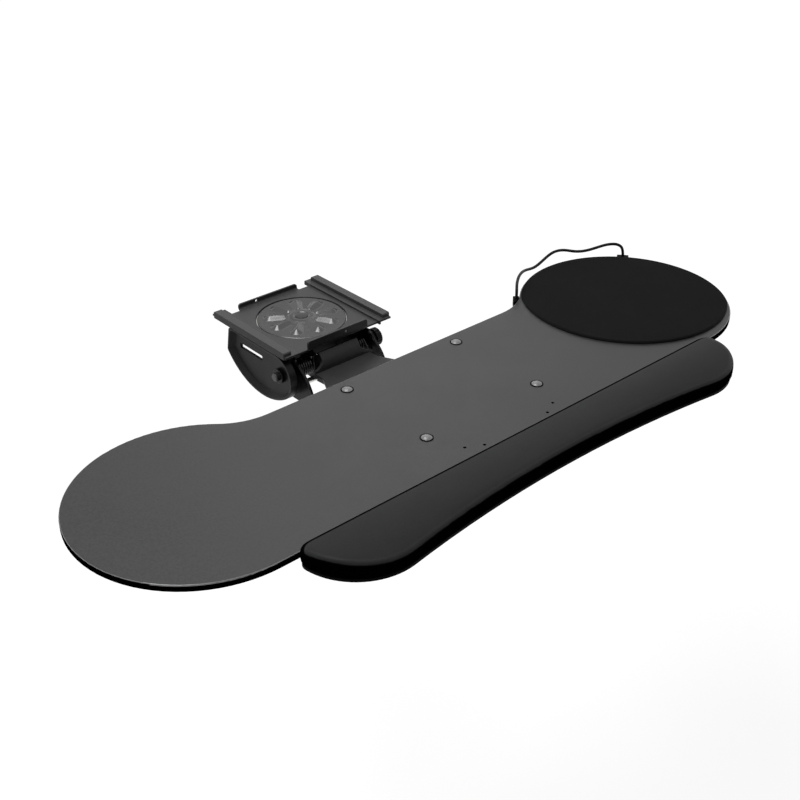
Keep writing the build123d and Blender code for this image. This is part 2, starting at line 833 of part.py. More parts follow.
def base_screws():
    seat = palm_base_bottom - palm_bracket_sheet
    return [screw(x, y, seat, base_screw_depth) for x, y in base_screw_places()]


def clip_angles():
    return (wire_first_angle, wire_last_angle)


def guard_point(angle, height):
    x, y = on_circle(lobe_x, lobe_centre_y, wire_ring, angle)
    return (x, y, board_top + height)


def guard_wire():
    span = wire_last_angle - wire_first_angle
    foot = -board_thickness / 2
    points = [guard_point(wire_first_angle, foot)]
    for angle_share, height_share in zip(wire_angle_shares, wire_height_shares):
        height = wire_dip + (wire_crest - wire_dip) * height_share
        points.append(guard_point(wire_first_angle + span * angle_share, height))
    points.append(guard_point(wire_last_angle, foot))
    bends = [wire_foot_bend] + [wire_wave_bend] * (len(points) - 4) + [wire_foot_bend]
    path = FilletPolyline(*points, radius=bends)
    section = Plane(origin=path @ 0, z_dir=path % 0) * Circle(wire_radius)
    return sweep(section, path=path)


def wire_clip(angle):
    top = board_top + clip_rise
    bottom = board_bottom - clip_sheet
    body = post(lobe_radius + clip_depth, bottom, top)
    body -= post(lobe_radius, board_bottom, top + overrun)
    body -= post(lobe_radius - clip_lip, bottom - overrun, top + overrun)
    body &= block(0, lobe_radius + clip_depth, -clip_length / 2, clip_length / 2, bottom, top)
    foot = board_top - board_thickness / 2
    body -= post(wire_radius, foot, top + overrun, wire_ring, 0)
    body -= post(screw_radius, bottom - overrun, top, lobe_radius - clip_screw_inset, 0)
    placed = Pos(lobe_x, lobe_centre_y) * Rot(0, 0, angle) * body
    return placed - level_plate(board_outline(), board_bottom, top + overrun)


def clip_screws():
    seat = board_bottom - clip_sheet
    places = [on_circle(lobe_x, lobe_centre_y, lobe_radius - clip_screw_inset, angle)
              for angle in clip_angles()]
    return [screw(x, y, seat, screw_depth) for x, y in places]


# Everything is written under the name of its node

os.makedirs("parts", exist_ok=True)

save("slide_plate", slide_plate())
save("right_glide", glide())
save("left_glide", mirrored(glide()))
save("lower_bearing_ring", bearing_ring(web_top))
save("upper_bearing_ring", bearing_ring(lip_top))

save("swivel_disc", swivel_disc())
save("hub_rivet", hub_rivet())
save("yoke", yoke())
save("left_cheek", mirrored(cheek()))
save("right_spacer", spacer(right_fin_outer, shaft_right))
save("left_spacer", spacer(-cheek_inner, -left_fin_outer))
save("lift_shaft", lift_shaft())
save("shaft_collar", shaft_collar())
save("tension_knob", tension_knob())
save("link_rod", headed_rod(link_rod_radius, -left_fin_outer, right_fin_outer,
                            link_rod_head_radius, link_rod_head, lift_y, link_rod_z))

save("lift_arm", lift_arm())
save("spring_rod", spring_rod())
save("right_spring", torsion_spring())
save("left_spring", mirrored(torsion_spring()))
save("right_link", link())
save("left_link", mirrored(link()))

save("tilt_head", tilt_head())
arm_pin_reach = arm_wall_outer + clearance
save("arm_pin", headed_rod(arm_pin_radius, -arm_pin_reach, arm_pin_reach, pin_head_radius,
                           pin_head, head_y, head_z))
save("link_pin", rod(link_rod_radius, -head_inner - head_sheet, head_inner + head_sheet,
                     head_y, link_pin_z))
tilt_pin_reach = bracket_ear_inner + head_sheet + clearance
save("tilt_pin", headed_rod(tilt_pin_radius, -tilt_pin_reach, tilt_pin_reach, pin_head_radius,
                            pin_head, tilt_y, tilt_z))

save("board", board())
save("tray_bracket", tray_bracket())
save("board_rivets", *[board_rivet(x, y) for x, y in rivet_places()])
save("mouse_pad", mouse_pad())
save("palm_rest", palm_rest())
save("palm_rest_base", palm_rest_base())
save("right_palm_bracket", palm_bracket())
save("left_palm_bracket", mirrored(palm_bracket()))
save("bracket_screws", *bracket_screws())
save("base_screws", *base_screws())
save("guard_wire", guard_wire())
save("right_wire_clip", wire_clip(wire_first_angle))
save("left_wire_clip", wire_clip(wire_last_angle))
save("clip_screws", *clip_screws())
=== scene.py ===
"""Dresses the keyboard tray: finishes, the soft pad and palm rest, light and camera."""
import json
import math

import bmesh
import bpy
from bpy.props import FloatProperty, FloatVectorProperty, IntProperty, PointerProperty
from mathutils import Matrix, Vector


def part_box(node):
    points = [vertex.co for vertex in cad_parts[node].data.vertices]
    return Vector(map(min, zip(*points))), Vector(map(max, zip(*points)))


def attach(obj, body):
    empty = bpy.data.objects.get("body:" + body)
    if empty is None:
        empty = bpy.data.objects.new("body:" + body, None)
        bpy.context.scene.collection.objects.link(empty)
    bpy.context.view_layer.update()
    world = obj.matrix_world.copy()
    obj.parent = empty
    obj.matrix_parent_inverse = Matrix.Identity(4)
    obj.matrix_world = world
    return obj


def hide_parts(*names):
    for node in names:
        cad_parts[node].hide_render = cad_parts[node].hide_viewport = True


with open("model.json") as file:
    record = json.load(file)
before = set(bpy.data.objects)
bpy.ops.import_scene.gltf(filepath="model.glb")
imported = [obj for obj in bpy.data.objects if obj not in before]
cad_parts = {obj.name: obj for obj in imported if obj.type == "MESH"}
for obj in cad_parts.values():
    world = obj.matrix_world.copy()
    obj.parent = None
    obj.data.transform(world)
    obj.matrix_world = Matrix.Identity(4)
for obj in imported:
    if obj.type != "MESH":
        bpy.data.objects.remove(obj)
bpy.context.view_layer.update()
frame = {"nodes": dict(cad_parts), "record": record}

bl_info = {
    "name": "Keyboard Tray Finish",
    "version": (1, 0, 0),
    "blender": (4, 5, 0),
    "location": "3D View > Sidebar > Keyboard Tray",
    "description": "Finishes, pad, palm rest, light and camera of an under-desk keyboard tray",
    "category": "Object",
}

MILLIMETRE = 0.001
BLACK = (0.0, 0.0, 0.0, 1.0)
WHITE = (1.0, 1.0, 1.0, 1.0)
LOBE_RADIUS = 0.1115
WIRE_RING = 0.115
# Angle in degrees round the right lobe and height in millimetres of the guard wire's bends
WIRE_COURSE = (
    (40.0, 1.5), (40.0, 7.0), (40.3, 12.0), (41.2, 17.5), (44.5, 20.6), (50.0, 19.6), (56.0, 15.6),
    (62.0, 12.6), (69.0, 13.4), (76.0, 19.0), (84.0, 20.4), (91.0, 14.2), (99.0, 9.2), (107.0, 13.6),
    (114.0, 17.2), (121.0, 18.8), (128.0, 18.6), (133.5, 17.6), (136.6, 15.5), (137.05, 9.0), (137.05, 1.5),
)
RIVET_HEAD = 0.0056
# Dark rings round the rivet heads, a painted shadow at the foot of each head
SHADOW_RING_INNER = 0.0050
SHADOW_RING_OUTER = 0.0063
SHADOW_RING_SHEET = 0.0004
RIVET_EDGE = 0.0004
DISC_RINGS = 60
# Vertices of a made piece, and of a CAD mesh, that lie closer than this are one
JOIN_GAP = 0.000001
LOOSE_GAP = 0.00001
ORIGIN = Vector((0.0, 0.0, 0.0))
# The camera is fitted to the photo, and the lights stand where its highlights put them
CAMERA_PLACE = Vector((-0.6681, -0.9150, 0.5749))
CAMERA_LOOK = Vector((0.56586, 0.64083, -0.51879))
SENSOR_WIDTH = 36.0
LIGHT_TARGET = Vector((0.02, -0.2, 0.0))
OVERHEAD_PLACE = Vector((-0.18, 0.07, 1.2))
OVERHEAD_SIZE = (0.75, 0.6)
REAR_PLACE = Vector((0.95, 1.0, 1.25))
REAR_SIZE = (0.9, 0.7)
FLOOR_HALF = 14.0
FLOOR_LEVEL = -0.62
COLOUR_SOCKET = "NodeSocketColor"
VALUE_SOCKET = "NodeSocketFloat"
VECTOR_SOCKET = "NodeSocketVector"


def slot_colour(slot):
    for entry in frame["record"]["materials"]:
        if entry["slot"] == slot:
            return tuple(entry["base_color"])
    raise RuntimeError(f"the record has no slot {slot}")


def colour_property(label, words, value):
    return FloatVectorProperty(name=label, description=words, subtype="COLOR", size=3,
                               min=0.0, max=1.0, default=tuple(value))


def length_property(label, words, value):
    return FloatProperty(name=label, description=words, subtype="DISTANCE", unit="LENGTH",
                         min=0.0, default=value, precision=4)


class TrayColours(bpy.types.PropertyGroup):
    """Colours of the finishes."""
    plate: colour_property("Plate", "Powder coat of the slide plate and hub rivet", (0.066, 0.066, 0.068))
    disc: colour_property("Disc", "Powder coat of the swivel disc", (0.030, 0.030, 0.031))
    mechanism: colour_property("Mechanism", "Powder coat of yoke, links and brackets", (0.010, 0.010, 0.0105))
    # Painted shade: the lift arm has the plate's charcoal coat, coloured darker here for the shade it stands
    # in
    arm: colour_property("Arm", "Powder coat of the lift arm", (0.040, 0.040, 0.041))
    pin: colour_property("Pin", "Blackened steel of the shaft and springs", (0.035, 0.035, 0.036))
    zinc: colour_property("Zinc", "Plated rods, pins and screws", (0.66, 0.66, 0.64))
    glide: colour_property("Glide", "Moulded glides", (0.062, 0.062, 0.064))
    ring: colour_property("Bearing ring", "Natural nylon rings", slot_colour("ring_nylon"))
    laminate: colour_property("Laminate", "Face of the board", (0.0345, 0.0345, 0.0355))
    # Painted shade: the board's upright edge is coloured near black
    board_edge_shade: colour_property("Board edge", "Painted shade on the board's upright edge", (0.004, 0.004, 0.004))
    # Painted highlight: the rounded rim of the board's face is coloured light
    board_rim_highlight: colour_property("Board rim", "Painted highlight on the rounded rim of the board's face", (0.25, 0.25, 0.25))
    rivet: colour_property("Rivet", "Coated rivet heads", (0.26, 0.26, 0.26))
    cloth: colour_property("Pad cloth", "Knitted top of the mouse pad", (0.0115, 0.0115, 0.012))
    rubber: colour_property("Pad rubber", "Foamed base of the mouse pad", (0.008, 0.008, 0.008))
    skin: colour_property("Palm skin", "Top of the palm rest", (0.022, 0.022, 0.0225))
    # Painted shade: near black on the palm rest's sides and along its back edge
    skin_side_shade: colour_property("Palm side", "Side of the palm rest", (0.0015, 0.0015, 0.0015))
    plastic: colour_property("Plastic", "Base, clips and knob", (0.006, 0.006, 0.006))
    wire: colour_property("Wire", "Coating of the guard wire", (0.006, 0.006, 0.006))
    floor: colour_property("Floor", "Pale studio floor", (0.4, 0.4, 0.4))


class TraySizes(bpy.types.PropertyGroup):
    """Sizes of the pieces made here and of the grain of the finishes."""
    cloth_layer: length_property("Cloth layer", "Thickness of the pad's cloth top", 0.0009)
    pad_round: length_property("Pad edge round", "Radius of the pad's worn edge", 0.0008)
    pad_spread: length_property("Pad spread", "How far the pad spreads past its CAD disc", 0.0032)
    pad_shift: length_property("Pad shift", "How far back the pad's front round is set", 0.0096)
    pad_front: length_property("Pad front", "Radius of the pad's front round", 0.1102)
    pad_sag: length_property("Pad sag", "How far the pad's rim lies below its middle", 0.0002)
    skin_cell: length_property("Skin cell", "Size of the mesh cells of the palm rest", 0.002)
    edge_round: length_property("Edge round", "Softening of sheet-metal edges", 0.001)
    coat_grain: length_property("Coat grain", "Size of the powder coat's grain", 0.0009)
    laminate_grain: length_property("Laminate grain", "Size of the laminate's specks", 0.0018)
    skin_grain: length_property("Skin grain", "Size of the pebbles in the skin", 0.0012)
    knit_pitch: length_property("Knit pitch", "Spacing of the threads of the cloth", 0.0011)
    rib_pitch: length_property("Rib pitch", "Spacing of the ribs on the glides", 0.0016)
    disc_sheet: length_property("Disc sheet", "Thickness of the pressed disc", 0.0016)
    disc_round: length_property("Disc round", "Rounding of the disc's rim", 0.0016)
    disc_gap: length_property("Disc gap", "How much smaller the disc is than in the CAD", 0.0006)
    petal_start: length_property("Petal start", "Where the petals start, from the middle", 0.0125)
    petal_end: length_property("Petal end", "Where the petals end, from the middle", 0.0410)
    petal_tip: length_property("Petal tip", "Radius of a petal's narrow end", 0.0052)
    petal_bowl: length_property("Petal bowl", "Radius of a petal's wide end", 0.0074)
    petal_slope: length_property("Petal slope", "Width of the slope round a petal", 0.0062)
    petal_rise: length_property("Petal rise", "Height of a petal over the disc", 0.0038)
    hub_reach: length_property("Hub reach", "Radius of the dish round the hub", 0.0088)
    hub_depth: length_property("Hub depth", "Depth of the dish round the hub", 0.0010)
    hub_rise: length_property("Hub rise", "Height of the middle over the disc", 0.0028)
    hub_head: length_property("Hub head", "Radius of the hub rivet's head", 0.0068)
    petals: IntProperty(name="Petals", description="Number of petals in the disc", default=9, min=3, max=24)
    first_petal: FloatProperty(name="First petal", description="Angle of the first petal in degrees",
                               default=-136.0)
    wire_radius: length_property("Wire radius", "Half the coated wire's thickness", 0.00165)
    smooth_steps: IntProperty(name="Smooth steps", description="Rounds of smoothing of the palm rest",
                              default=12, min=0, max=40)


class TrayLight(bpy.types.PropertyGroup):
    """Light and camera."""
    overhead: FloatProperty(name="Overhead", description="Power of the overhead light",
                            subtype="POWER", unit="POWER", default=10.5, min=0.0)
    rear: FloatProperty(name="Rear", description="Power of the light behind the tray",
                        subtype="POWER", unit="POWER", default=2.8, min=0.0)
    room: FloatProperty(name="Room", description="Strength of the light from all round",
                        default=0.045, min=0.0)
    lens: FloatProperty(name="Lens", description="Focal length of the camera", subtype="DISTANCE_CAMERA",
                        default=53.48, min=1.0)


CLASSES = []


def registered(cls):
    CLASSES.append(cls)
    return cls


# Shader groups

class Graph:
    """A node tree with short calls for making nodes and joining them."""

    def __init__(self, tree):
        self.tree = tree

    def add(self, kind, **settings):
        node = self.tree.nodes.new(kind)
        for key, value in settings.items():
            setattr(node, key, value)
        return node

    def feed(self, socket, value):
        if isinstance(value, bpy.types.NodeSocket):
            self.tree.links.new(value, socket)
        else:
            socket.default_value = value

    def calc(self, operation, first, second, third=None):
        node = self.add("ShaderNodeMath", operation=operation)
        self.feed(node.inputs[0], first)
        self.feed(node.inputs[1], second)
        if third is not None:
            self.feed(node.inputs[2], third)
        return node.outputs[0]

    def noise(self, place, scale, detail=2.0, roughness=0.5):
        node = self.add("ShaderNodeTexNoise")
        self.feed(node.inputs["Vector"], place)
        self.feed(node.inputs["Scale"], scale)
        self.feed(node.inputs["Detail"], detail)
        self.feed(node.inputs["Roughness"], roughness)
        return node.outputs["Fac"]

    def spread(self, value, low, high, to_low, to_high):
        node = self.add("ShaderNodeMapRange", interpolation_type="SMOOTHSTEP")
        self.feed(node.inputs["Value"], value)
        self.feed(node.inputs["From Min"], low)
        self.feed(node.inputs["From Max"], high)
        self.feed(node.inputs["To Min"], to_low)
        self.feed(node.inputs["To Max"], to_high)
        return node.outputs["Result"]

    def shade(self, colour, factor):
        node = self.add("ShaderNodeVectorMath", operation="SCALE")
        self.feed(node.inputs[0], colour if isinstance(colour, bpy.types.NodeSocket) else colour[:3])
        self.feed(node.inputs["Scale"], factor)
        return node.outputs[0]

    def mix(self, factor, first, second):
        node = self.add("ShaderNodeMix", data_type="RGBA")
        self.feed(node.inputs["Factor"], factor)
        self.feed(node.inputs[6], first)
        self.feed(node.inputs[7], second)
        return node.outputs[2]

    def place(self):
        return self.add("ShaderNodeTexCoord").outputs["Object"]

    def facing(self):
        return self.add("ShaderNodeTexCoord").outputs["Normal"]

    def apart(self, vector):
        node = self.add("ShaderNodeSeparateXYZ")
        self.feed(node.inputs[0], vector)
        return node.outputs


def shader_group(name, inputs, outputs):
    tree = bpy.data.node_groups.new(name, "ShaderNodeTree")
    for label, kind, value in inputs:
        socket = tree.interface.new_socket(label, in_out="INPUT", socket_type=kind)
        socket.default_value = value
    for label, kind in outputs:
        tree.interface.new_socket(label, in_out="OUTPUT", socket_type=kind)
    graph = Graph(tree)
    start = graph.add("NodeGroupInput")
    end = graph.add("NodeGroupOutput")
    return graph, start.outputs, end.inputs


def make_grain_group():
    """Fine specks over a broad, faint cloudiness, as on powder coat and laminate."""
    graph, given, out = shader_group(
        "Fine grain",
        [("Color", COLOUR_SOCKET, (0.1, 0.1, 0.1, 1.0)), ("Grain", VALUE_SOCKET, 900.0),
         ("Speck", VALUE_SOCKET, 0.15), ("Cloud", VALUE_SOCKET, 0.08),
         ("Roughness", VALUE_SOCKET, 0.5)],
        [("Color", COLOUR_SOCKET), ("Roughness", VALUE_SOCKET), ("Height", VALUE_SOCKET)])
    place = graph.place()
    specks = graph.noise(place, given["Grain"], 3.0, 0.65)
    clouds = graph.noise(place, 14.0, 3.0, 0.55)
    speck = graph.calc("MULTIPLY", graph.spread(specks, 0.3, 0.7, -1.0, 1.0), given["Speck"])
    cloud = graph.calc("MULTIPLY", graph.spread(clouds, 0.3, 0.7, -1.0, 1.0), given["Cloud"])
    factor = graph.calc("ADD", graph.calc("ADD", 1.0, speck), cloud)
    graph.feed(out["Color"], graph.shade(given["Color"], factor))
    rough = graph.calc("MULTIPLY_ADD", speck, 0.3, given["Roughness"])
    graph.feed(out["Roughness"], graph.calc("MULTIPLY_ADD", cloud, 0.5, rough))
    graph.feed(out["Height"], specks)


def make_edge_group():
    """Softened edges: a rounded normal, and a mask along the edges where a coat wears thin and where a
    painted highlight lightens it.
    """
    graph, given, out = shader_group(
        "Soft edge",
        [("Radius", VALUE_SOCKET, 0.0006), ("Wear", VALUE_SOCKET, 0.3)],
        [("Normal", VECTOR_SOCKET), ("Mask", VALUE_SOCKET)])
    bevel = graph.add("ShaderNodeBevel", samples=6)
    graph.feed(bevel.inputs["Radius"], given["Radius"])
    flat = graph.add("ShaderNodeNewGeometry").outputs["Normal"]
    dot = graph.add("ShaderNodeVectorMath", operation="DOT_PRODUCT")
    graph.feed(dot.inputs[0], bevel.outputs["Normal"])
    graph.feed(dot.inputs[1], flat)
    patches = graph.noise(graph.place(), 260.0, 3.0, 0.6)
    edge = graph.spread(dot.outputs["Value"], 0.995, 0.86, 0.0, 1.0)
    # Wear patches along the edges, which also stand for a painted highlight on them
    worn_and_highlit = graph.calc("MULTIPLY", edge, graph.spread(patches, 0.35, 0.62, 0.25, 1.0))
    graph.feed(out["Normal"], bevel.outputs["Normal"])
    graph.feed(out["Mask"], graph.calc("MULTIPLY", worn_and_highlit, given["Wear"]))


def make_brushed_group():
    """Fine draw marks along one axis, as on plated wire and turned pins."""
    graph, given, out = shader_group(
        "Draw marks",
        [("Color", COLOUR_SOCKET, (0.6, 0.6, 0.6, 1.0)), ("Stretch", VECTOR_SOCKET, (60.0, 1800.0, 1800.0)),
         ("Roughness", VALUE_SOCKET, 0.3)],
        [("Color", COLOUR_SOCKET), ("Roughness", VALUE_SOCKET), ("Height", VALUE_SOCKET)])
    product = graph.add("ShaderNodeVectorMath", operation="MULTIPLY")
    graph.feed(product.inputs[0], graph.place())
    graph.feed(product.inputs[1], given["Stretch"])
    marks = graph.noise(product.outputs[0], 1.0, 3.0, 0.6)
    stains = graph.noise(graph.place(), 120.0, 3.0, 0.6)
    factor = graph.calc("MULTIPLY", graph.spread(marks, 0.3, 0.7, 0.88, 1.06),
                       graph.spread(stains, 0.3, 0.75, 0.82, 1.05))
    graph.feed(out["Color"], graph.shade(given["Color"], factor))
    dulled = graph.spread(stains, 0.3, 0.7, -0.06, 0.1)
    graph.feed(out["Roughness"], graph.calc("ADD", given["Roughness"], dulled))
    graph.feed(out["Height"], marks)


def make_knit_group():
    """Crossed threads with a little fuzz, as on the top of a mouse pad."""
    graph, given, out = shader_group(
        "Knit cloth",
        [("Color", COLOUR_SOCKET, (0.02, 0.02, 0.02, 1.0)), ("Pitch", VALUE_SOCKET, 0.0011)],
        [("Color", COLOUR_SOCKET), ("Roughness", VALUE_SOCKET), ("Height", VALUE_SOCKET)])
    place = graph.place()
    apart = graph.apart(place)
    threads = []
    for axis in ("X", "Y"):
        turns = graph.calc("DIVIDE", apart[axis], given["Pitch"])
        wave = graph.calc("SINE", graph.calc("MULTIPLY", turns, math.tau), 0.0)
        threads.append(wave)
    weave = graph.calc("MULTIPLY", threads[0], threads[1])
    fuzz = graph.noise(place, 1600.0, 3.0, 0.7)
    height = graph.calc("MULTIPLY_ADD", weave, 0.35, graph.calc("MULTIPLY_ADD", fuzz, 0.4, 0.3))
    cloud = graph.noise(place, 22.0, 3.0, 0.6)
    # Painted shade: the colour darkens where the weave is low, between the threads
    factor = graph.calc("MULTIPLY", graph.spread(height, 0.1, 0.9, 0.8, 1.2),
                       graph.spread(cloud, 0.3, 0.7, 0.94, 1.06))
    graph.feed(out["Color"], graph.shade(given["Color"], factor))
    graph.feed(out["Roughness"], graph.spread(fuzz, 0.3, 0.7, 0.82, 0.98))
    graph.feed(out["Height"], height)


def make_skin_group():
    """Pebbled vinyl: rounded cells with painted shade in the fine creases between them, near-black painted
    shade on the sides and along the back edge, and a painted highlight on the sloping rim.
    """
    graph, given, out = shader_group(
        "Pebbled skin",
        [("Color", COLOUR_SOCKET, (0.03, 0.03, 0.03, 1.0)), ("Side Color", COLOUR_SOCKET, BLACK),
         ("Cell", VALUE_SOCKET, 0.0012), ("Rim", VALUE_SOCKET, 0.75), ("Back", VALUE_SOCKET, -0.3275)],
        [("Color", COLOUR_SOCKET), ("Roughness", VALUE_SOCKET), ("Height", VALUE_SOCKET),
         ("Gloss", VALUE_SOCKET)])
    place = graph.place()
    cells = graph.add("ShaderNodeTexVoronoi", feature="DISTANCE_TO_EDGE")
    graph.feed(cells.inputs["Vector"], place)
    graph.feed(cells.inputs["Scale"], graph.calc("DIVIDE", 1.0, given["Cell"]))
    pebble = graph.spread(cells.outputs["Distance"], 0.0, 0.22, 0.0, 1.0)
    fine = graph.noise(place, 2600.0, 2.0, 0.6)
    cloud = graph.noise(place, 26.0, 3.0, 0.55)
    # Painted shade: darker towards the creases between the cells
    shade = graph.calc("MULTIPLY", graph.spread(pebble, 0.0, 1.0, 0.86, 1.04),
                      graph.spread(cloud, 0.3, 0.7, 0.93, 1.07))
    # Painted shade: the sides, the slopes turned backwards and a strip along the back edge take the
    # near-black side colour
    normal = graph.apart(graph.facing())
    hidden = graph.calc("MAXIMUM", normal["Y"], 0.0)
    lean = graph.calc("MULTIPLY_ADD", hidden, -2.0, normal["Z"])
    turned = graph.spread(lean, 0.38, given["Rim"], 0.0, 1.0)
    behind = graph.calc("SUBTRACT", graph.apart(place)["Y"], given["Back"])
    lit_share = graph.calc("MULTIPLY", turned, graph.spread(behind, -0.0052, -0.0044, 1.0, 0.0))
    # Painted highlight: where the top slopes, its colour is made up to 1.9 times lighter
    slope_highlight = graph.spread(normal["Z"], 0.998, 0.93, 1.0, 1.9)
    colour = graph.mix(lit_share, given["Side Color"], given["Color"])
    graph.feed(out["Color"], graph.shade(colour, graph.calc("MULTIPLY", shade, slope_highlight)))
    graph.feed(out["Roughness"], graph.spread(fine, 0.3, 0.7, 0.42, 0.56))
    graph.feed(out["Gloss"], graph.calc("MULTIPLY", lit_share, 0.08))
    graph.feed(out["Height"], graph.calc("MULTIPLY_ADD", fine, 0.15, pebble))


def make_rib_group():
    """Fine ribs across a moulded strip, with painted shade in the grooves and a painted highlight on the
    crests.
    """
    graph, given, out = shader_group(
        "Moulded ribs",
        [("Color", COLOUR_SOCKET, (0.1, 0.1, 0.1, 1.0)), ("Pitch", VALUE_SOCKET, 0.0016)],
        [("Color", COLOUR_SOCKET), ("Roughness", VALUE_SOCKET), ("Height", VALUE_SOCKET)])
    place = graph.place()
    turns = graph.calc("DIVIDE", graph.apart(place)["Y"], given["Pitch"])
    wave = graph.calc("SINE", graph.calc("MULTIPLY", turns, math.tau), 0.0)
    specks = graph.noise(place, 900.0, 3.0, 0.6)
    # Painted shade and highlight: darker in the grooves, lighter on the crests
    factor = graph.calc("MULTIPLY", graph.spread(wave, -1.0, 0.6, 0.72, 1.08),
                       graph.spread(specks, 0.3, 0.7, 0.9, 1.1))
    graph.feed(out["Color"], graph.shade(given["Color"], factor))
    graph.feed(out["Roughness"], graph.spread(specks, 0.3, 0.7, 0.5, 0.66))
    graph.feed(out["Height"], graph.calc("MULTIPLY_ADD", specks, 0.1, wave))


def make_groups():
    if "Fine grain" in bpy.data.node_groups:
        return
    make_grain_group()
    make_edge_group()
    make_brushed_group()
    make_knit_group()
    make_skin_group()
    make_rib_group()


# Materials

class Finish:
    """A material with its Principled shader and calls that place a group and its bump."""

    def __init__(self, name, metallic=0.0, specular=0.5, **uniform):
        self.material = bpy.data.materials.new(name)
        self.material.use_nodes = True
        self.graph = Graph(self.material.node_tree)
        self.shader = self.material.node_tree.nodes["Principled BSDF"]
        self.shader.inputs["Metallic"].default_value = metallic
        self.shader.inputs["Specular IOR Level"].default_value = specular
        for key, value in uniform.items():
            self.shader.inputs[key.replace("_", " ")].default_value = value
        self.normal = None

    def group(self, name, **values):
        node = self.graph.add("ShaderNodeGroup", node_tree=bpy.data.node_groups[name])
        for key, value in values.items():
            self.graph.feed(node.inputs[key.replace("_", " ")], value)
        return node

    def soft_edges(self, radius, wear_and_highlight_share):
        node = self.group("Soft edge", Radius=radius, Wear=wear_and_highlight_share)
        self.normal = node.outputs["Normal"]
        return node.outputs["Mask"]

    def bump(self, height, strength, distance):
        node = self.graph.add("ShaderNodeBump")
        self.graph.feed(node.inputs["Height"], height)
        self.graph.feed(node.inputs["Strength"], strength)
        self.graph.feed(node.inputs["Distance"], distance)
        if self.normal is not None:
            self.graph.feed(node.inputs["Normal"], self.normal)
        self.graph.feed(self.shader.inputs["Normal"], node.outputs["Normal"])

    def paint(self, colour, roughness):
        self.graph.feed(self.shader.inputs["Base Color"], colour)
        self.graph.feed(self.shader.inputs["Roughness"], roughness)


def rgba(colour):
    return (*colour, 1.0)


def tray(context):
    return context.scene.keyboard_tray


def finish_named(name, maker, settings):
    found = bpy.data.materials.get(name)
    if found is not None:
        return found
    make_groups()
    return maker(name, settings)


def coated(colour_key, roughness, specular, speck, cloud, wear_and_highlight_share, bump, slope_gloss=None):
    """Powder-coated sheet metal. Slope gloss is the shine of its pressed slopes."""
    def make(name, settings):
        finish = Finish(name, 0.0, specular)
        colour = rgba(getattr(settings.colours, colour_key))
        grain = finish.group("Fine grain", Color=colour, Grain=1.0 / settings.sizes.coat_grain,
                             Speck=speck, Cloud=cloud, Roughness=roughness)
        mask = finish.soft_edges(settings.sizes.edge_round, wear_and_highlight_share)
        # Worn edges with a painted highlight: the edge mask mixes in a lighter copy of the coat
        worn_and_highlit_colour = tuple(min(1.0, channel * 2.0 + 0.1) for channel in colour[:3]) + (1.0,)
        finish.paint(finish.graph.mix(mask, grain.outputs["Color"], worn_and_highlit_colour), grain.outputs["Roughness"])
        finish.bump(grain.outputs["Height"], bump, 0.00005)
        if slope_gloss is not None:
            graph = finish.graph
            upright = graph.apart(graph.facing())["Z"]
            gloss = graph.spread(upright, 0.985, 0.93, specular, slope_gloss)
            graph.feed(finish.shader.inputs["Specular IOR Level"], gloss)
        return finish.material
    return make


def plated(roughness, stretch):
    """Zinc-plated steel with draw marks."""
    def make(name, settings):
        finish = Finish(name, 1.0, 0.5)
        marks = finish.group("Draw marks", Color=rgba(settings.colours.zinc), Stretch=stretch,
                             Roughness=roughness)
        finish.soft_edges(settings.sizes.edge_round / 2, 0.0)
        finish.paint(marks.outputs["Color"], marks.outputs["Roughness"])
        finish.bump(marks.outputs["Height"], 0.25, 0.00002)
        return finish.material
    return make


def moulded(colour_key, roughness, specular, grain_size=0.0007):
    """Moulded plastic with a light spark texture."""
    def make(name, settings):
        finish = Finish(name, 0.0, specular)
        grain = finish.group("Fine grain", Color=rgba(getattr(settings.colours, colour_key)),
                             Grain=1.0 / grain_size, Speck=0.12, Cloud=0.1, Roughness=roughness)
        finish.soft_edges(settings.sizes.edge_round, 0.0)
        finish.paint(grain.outputs["Color"], grain.outputs["Roughness"])
        finish.bump(grain.outputs["Height"], 0.3, 0.00006)
        return finish.material
    return make


def ribbed_nylon(name, settings):
    finish = Finish(name, 0.0, 0.35)
    ribs = finish.group("Moulded ribs", Color=rgba(settings.colours.glide), Pitch=settings.sizes.rib_pitch)
    mask = finish.soft_edges(settings.sizes.edge_round, 0.35)
    # Worn edges with a painted highlight: the glide's edges are mixed towards a light grey
    worn_and_highlit = (0.16, 0.16, 0.16, 1.0)
    finish.paint(finish.graph.mix(mask, ribs.outputs["Color"], worn_and_highlit), ribs.outputs["Roughness"])
    finish.bump(ribs.outputs["Height"], 0.4, 0.00012)
    return finish.material


